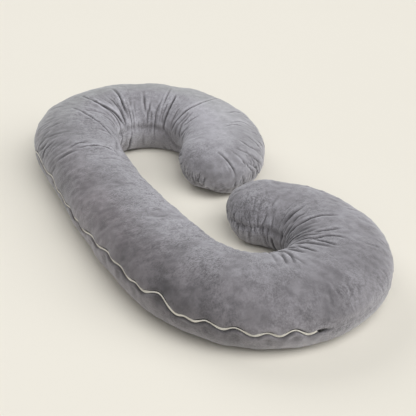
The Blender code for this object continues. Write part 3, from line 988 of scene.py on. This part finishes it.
def make_zip_tape(material):
    s = np.arange(ZIP_START, ZIP_END, TAPE_STEP)
    middle, _, across, out = channel_line(s)
    low = middle + out * TAPE_CLEAR
    high = low + out * TAPE_THICK
    edge = low + out * TAPE_THICK * 0.5
    wide = across * (TAPE_HALF * zip_open(s))[:, None]
    slim = wide * TAPE_ROUND
    rings = np.stack([low - slim, low + slim, edge + wide, high + slim, high - slim, edge - wide], 1)
    return link("zip_tape", ring_mesh("zip_tape", rings), material)


def make_zip_coil(material):
    """The coil: small rounded turns, from the left and the right side by turns."""
    s = np.arange(ZIP_START + 0.001, ZIP_END - 0.001, COIL_PITCH / 2)
    middle, along, across, out = channel_line(s)
    base = middle + out * (TAPE_CLEAR + TAPE_THICK + COIL_HEIGHT * COIL_SINK)
    across[0::2] *= -1
    wide, high = along * COIL_PITCH * COIL_GIRTH[0], out * COIL_HEIGHT * COIL_GIRTH[1]
    points, faces = [], []
    for k in range(len(s)):
        start = len(points)
        for share, size in COIL_TURN:
            centre = base[k] + across[k] * (share * COIL_LENGTH - COIL_LAP)
            for a in np.linspace(0, 2 * np.pi, COIL_SIDES, endpoint=False):
                points.append(centre + size * (wide[k] * math.cos(a) + high[k] * math.sin(a)))
        rings = np.arange(start, len(points)).reshape(-1, COIL_SIDES)
        for low, up in zip(rings, rings[1:]):
            faces += zip(low, np.roll(low, -1), np.roll(up, -1), up)
        faces += [rings[0][::-1], rings[-1]]
    return link("zip_coil", closed_mesh("zip_coil", points, faces), material)


def make_zip_slider(material):
    """The slider: rounded blocks that stand on the channel's floor."""
    line = channel_line(ZIP_END + SLIDER_AWAY + np.array([-0.001, 0, 0.001]))
    middle, along, across, out = (row[1] for row in line)
    bm = bmesh.new()
    for block in SLIDER:
        made = bmesh.ops.create_cube(bm, size=1)["verts"]
        for vert in made:
            x, y, z = vert.co
            place = middle + along * (block.at + x * block.length) + across * (y * block.width)
            vert.co = Vector(place + out * (block.height + z * block.thick))
        edges = list(dict.fromkeys(edge for vert in made for edge in vert.link_edges))
        bmesh.ops.bevel(
            bm, geom=edges, offset=block.round_off, segments=3, affect="EDGES", profile=0.6
        )
    return link("zip_slider_body", from_bmesh("zip_slider_body", bm), material)


# ---- materials

class Nodes:
    """A material's node tree, with short calls for the nodes used here."""

    def __init__(self, name):
        self.material = bpy.data.materials.new(name)
        self.material.use_nodes = True
        self.tree = self.material.node_tree
        self.shader = self.tree.nodes["Principled BSDF"]

    def add(self, kind, inputs=(), **settings):
        node = self.tree.nodes.new(kind)
        for key, value in settings.items():
            setattr(node, key, value)
        for key, value in dict(inputs).items():
            self.put(node.inputs[key], value)
        return node

    def put(self, socket, value):
        if isinstance(value, bpy.types.NodeSocket):
            self.tree.links.new(value, socket)
        else:
            socket.default_value = value

    def finish(self, **sockets):
        """Sets the shader's sockets, named with _ for a blank, and gives the material."""
        for name, value in sockets.items():
            self.put(self.shader.inputs[name.replace("_", " ")], value)
        return self.material

    def place(self):
        return self.add("ShaderNodeTexCoord").outputs["Object"]

    def stored(self, name, output="Vector"):
        return self.add("ShaderNodeAttribute", attribute_name=name).outputs[output]

    def math(self, operation, a, b):
        return self.add("ShaderNodeMath", {0: a, 1: b}, operation=operation).outputs[0]

    def sum(self, a, b):
        return self.math("ADD", a, b)

    def times(self, a, b):
        return self.math("MULTIPLY", a, b)

    def noise(self, vector, scale, detail, roughness=0.5, distortion=0.0):
        """Noise with about `scale` blobs in a metre."""
        inputs = {"Vector": vector, "Scale": scale, "Detail": detail, "Roughness": roughness}
        inputs["Distortion"] = distortion
        return self.add("ShaderNodeTexNoise", inputs).outputs["Fac"]

    def strokes(self, way, along, around, turn, distortion):
        """Noise drawn out into strokes, so many in a metre along the pillow and round it."""
        inputs = {"Vector": way, "Scale": (along, around, 1), "Rotation": (0, 0, turn)}
        mapped = self.add("ShaderNodeMapping", inputs).outputs[0]
        return self.noise(mapped, 1, 3, 0.65, distortion)

    def spread(self, value, low, high, to_low=0.0, to_high=1.0):
        inputs = {"Value": value, 1: low, 2: high, 3: to_low, 4: to_high}
        return self.add(
            "ShaderNodeMapRange", inputs, interpolation_type="SMOOTHSTEP"
        ).outputs[0]

    def mix(self, share, a, b, blend="MIX"):
        inputs = {0: share, 6: a, 7: b}
        return self.add("ShaderNodeMix", inputs, data_type="RGBA", blend_type=blend).outputs[2]

    def bump(self, strength, distance, height):
        inputs = {"Strength": strength, "Distance": distance, "Height": height}
        return self.add("ShaderNodeBump", inputs).outputs[0]


LILAC_DARK = (0.240, 0.230, 0.246, 1)
LILAC = (0.236, 0.231, 0.250, 1)
# the plain grey of the painted reflection of the backdrop
REFLECTED_GREY = (0.240, 0.243, 0.240, 1)
WARM = (0.254, 0.228, 0.243, 1)
TAPE_COLOURS = (0.72, 0.69, 0.62, 1), (0.85, 0.83, 0.77, 1)
COIL_COLOURS = (0.78, 0.75, 0.69, 1), (0.88, 0.86, 0.80, 1)
METAL_COLOURS = (0.150, 0.147, 0.144, 1), (0.36, 0.355, 0.35, 1)
FLOOR_COLOURS = (0.800, 0.768, 0.688, 1), (0.806, 0.774, 0.694, 1)


def velour():
    """Short pile: brushed patches and strokes, a soft sheen and a fine uneven nap, under the
    painted light and shade stored on the cover.
    """
    n = Nodes("velour")
    place, way = n.place(), n.stored("way")
    # shade is the stored painted light and shade; tint includes the painted reflection
    shade, rough, tint = n.add("ShaderNodeSeparateXYZ", {0: n.stored("nap")}).outputs
    patches = n.noise(place, 9, 3, 0.55, 1.0)
    blots = n.spread(n.noise(place, 42, 4, 0.62, 0.35), 0.33, 0.67)
    # strokes that slant one way or the other, and a fine grain between them
    which = n.spread(n.noise(place, 11, 2), 0.44, 0.56)
    slants = {0: which, 2: n.strokes(way, 300, 100, 0.30, 0.9), 3: n.strokes(way, 270, 90, -0.70, 1.3)}
    strokes = n.add("ShaderNodeMix", slants, data_type="FLOAT").outputs[0]
    strokes = n.spread(strokes, 0.34, 0.66)
    grain = n.spread(n.noise(place, 210, 3, 0.65, 0.2), 0.34, 0.66)
    fine = n.sum(n.times(strokes, 0.56), n.times(grain, 0.44))
    fine = n.times(n.math("SUBTRACT", fine, 0.5), rough)
    # how light the pile looks, the stored shade bringing in the painted light and shade
    tone = n.sum(n.times(patches, 0.50), n.times(blots, 0.26))
    tone = n.times(n.math("SUBTRACT", tone, 0.38), n.stored("blotched", "Fac"))
    tone = n.sum(n.sum(tone, n.times(fine, 1.10)), 0.50)
    tone = n.add("ShaderNodeClamp", {0: tone}).outputs[0]
    value = n.times(shade, n.spread(tone, 0.0, 1.0, 0.62, 1.38))
    # its colour, a lilac grey that turns plain grey, a painted reflection of the backdrop, or warmer by
    # the stored tint
    colour = n.mix(n.spread(value, 0.7, 1.5), LILAC_DARK, LILAC)
    colour = n.mix(n.math("MAXIMUM", tint, 0.0), colour, REFLECTED_GREY)
    colour = n.mix(n.math("MAXIMUM", n.times(tint, -1.0), 0.0), colour, WARM)
    even = n.add("ShaderNodeCombineColor", {"Red": value, "Green": value, "Blue": value})
    pile = n.noise(place, 1500, 2, 0.6)
    height = n.sum(n.times(pile, 0.10), n.times(blots, 0.30))
    height = n.sum(height, n.times(fine, 0.9))
    return n.finish(
        Base_Color=n.mix(1.0, colour, even.outputs[0], "MULTIPLY"),
        Roughness=n.spread(tone, 0, 1, 0.88, 0.72),
        Specular_IOR_Level=0.25,
        Sheen_Weight=0.45,
        Sheen_Roughness=0.5,
        Sheen_Tint=(0.95, 0.95, 1.0, 1),
        Normal=n.bump(0.8, 0.0018, height),
    )


def zip_cloth():
    """Woven zip tape, off-white: fine ribs across it and a little grime."""
    n = Nodes("zip_tape")
    place = n.place()
    grime = n.spread(n.noise(place, 45, 3, 0.6), 0.3, 0.7)
    weave = n.noise(place, 1400, 1)
    return n.finish(
        Base_Color=n.mix(grime, *TAPE_COLOURS),
        Roughness=n.spread(weave, 0.2, 0.8, 0.55, 0.8),
        Normal=n.bump(0.5, 0.0003, weave),
    )


def zip_nylon():
    """Moulded nylon of the coil, off-white, a little glossier than the tape."""
    n = Nodes("zip_coil")
    place = n.place()
    tone = n.spread(n.noise(place, 70, 2), 0.3, 0.7)
    return n.finish(
        Base_Color=n.mix(tone, *COIL_COLOURS),
        Roughness=n.spread(tone, 0, 1, 0.42, 0.32),
        Normal=n.bump(0.3, 0.0001, n.noise(place, 2500, 1)),
    )


def dark_metal():
    """Dark lacquered metal of the slider, worn a little in spots."""
    n = Nodes("slider_metal")
    place = n.place()
    wear = n.spread(n.noise(place, 900, 3, 0.6), 0.55, 0.72)
    return n.finish(
        Base_Color=n.mix(wear, *METAL_COLOURS),
        Roughness=n.spread(wear, 0, 1, 0.32, 0.5),
        Metallic=0.6,
        Normal=n.bump(0.2, 0.0001, n.noise(place, 1800, 2)),
    )


def floor_paint():
    """Matt pale cream, all but even."""
    n = Nodes("floor")
    tone = n.spread(n.noise(n.place(), 0.7, 2), 0.3, 0.7)
    colour = n.mix(tone, *FLOOR_COLOURS)
    return n.finish(Base_Color=colour, Roughness=0.9, Specular_IOR_Level=0.1)


# ---- stage, light and camera

# The camera, as fitted to the photo's outline: the point on the floor that it looks at, how far
# away it stands, how far it is turned round the upright and lifted, in degrees, and its lens.
TARGET = (-0.0397, 0.0677, 0.0)
DISTANCE = 2.957
CAMERA_TURN = 64.0
CAMERA_ELEVATION = 29.83
LENS = 84.96
FLOOR_HALF = 40  # the floor goes on past what the camera sees


def make_floor():
    bm = bmesh.new()
    bmesh.ops.create_grid(bm, x_segments=24, y_segments=24, size=FLOOR_HALF)
    link("floor", from_bmesh("floor", bm), floor_paint())


def make_camera():
    turn, rise = math.radians(CAMERA_TURN), math.radians(CAMERA_ELEVATION)
    back = Vector(
        (math.sin(turn) * math.cos(rise), -math.cos(turn) * math.cos(rise), math.sin(rise))
    )
    data = bpy.data.cameras.new("camera")
    data.lens = LENS
    data.sensor_width = 36
    data.clip_end = 100
    camera = bpy.data.objects.new("camera", data)
    camera.location = Vector(TARGET) + back * DISTANCE
    camera.rotation_euler = back.to_track_quat("Z", "Y").to_euler()
    bpy.context.scene.collection.objects.link(camera)
    bpy.context.scene.camera = camera


# The lights, soft suns. azimuth is from the camera's right, 90 pointing away from the camera;
# tilt is from straight overhead; both, and the size of the light, in degrees.
Light = namedtuple("Light", "name azimuth tilt size strength")
LIGHTS = [Light(*row) for row in (
    ("key", 304, 31, 42, 1.50),
    ("side", 343, 57, 44, 1.08),
    ("back", 128, 57, 44, 0.98),
    ("front", 262, 52, 44, 0.70),
)]
FILL = 0.17  # strength of the even white light from all round


def make_light():
    turn = math.radians(CAMERA_TURN)
    right = Vector((math.cos(turn), math.sin(turn), 0))
    away = Vector((-math.sin(turn), math.cos(turn), 0))
    for row in LIGHTS:
        data = bpy.data.lights.new(row.name, "SUN")
        data.energy = row.strength
        data.angle = math.radians(row.size)
        lamp = bpy.data.objects.new(row.name, data)
        azimuth, tilt = math.radians(row.azimuth), math.radians(row.tilt)
        level = right * math.cos(azimuth) + away * math.sin(azimuth)
        towards = level * math.sin(tilt) + Vector((0, 0, math.cos(tilt)))
        lamp.rotation_euler = towards.to_track_quat("Z", "Y").to_euler()
        bpy.context.scene.collection.objects.link(lamp)
    world = bpy.data.worlds.new("studio")
    bpy.context.scene.world = world
    world.use_nodes = True
    sky = world.node_tree.nodes["Background"]
    sky.inputs["Color"].default_value = (1.0, 1.0, 1.0, 1)
    sky.inputs["Strength"].default_value = FILL


def main():
    scene = bpy.context.scene
    scene.view_settings.view_transform = "Standard"
    scene.view_settings.look = "None"
    s, angles, rings, relief, marks = cover()
    pillow = make_pillow(s, angles, rings, relief, marks, velour())
    tape = make_zip_tape(zip_cloth())
    coil = make_zip_coil(zip_nylon())
    slider = make_zip_slider(dark_metal())
    for piece, node, slot in (
        (pillow, "pillow", "velour"),
        (tape, "zip_chain", "zip_tape"),
        (coil, "zip_chain", "zip_tape"),
        (slider, "zip_slider", "slider_metal"),
    ):
        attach(piece, "root")
        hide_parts(node)
    make_floor()
    make_light()
    make_camera()


main()
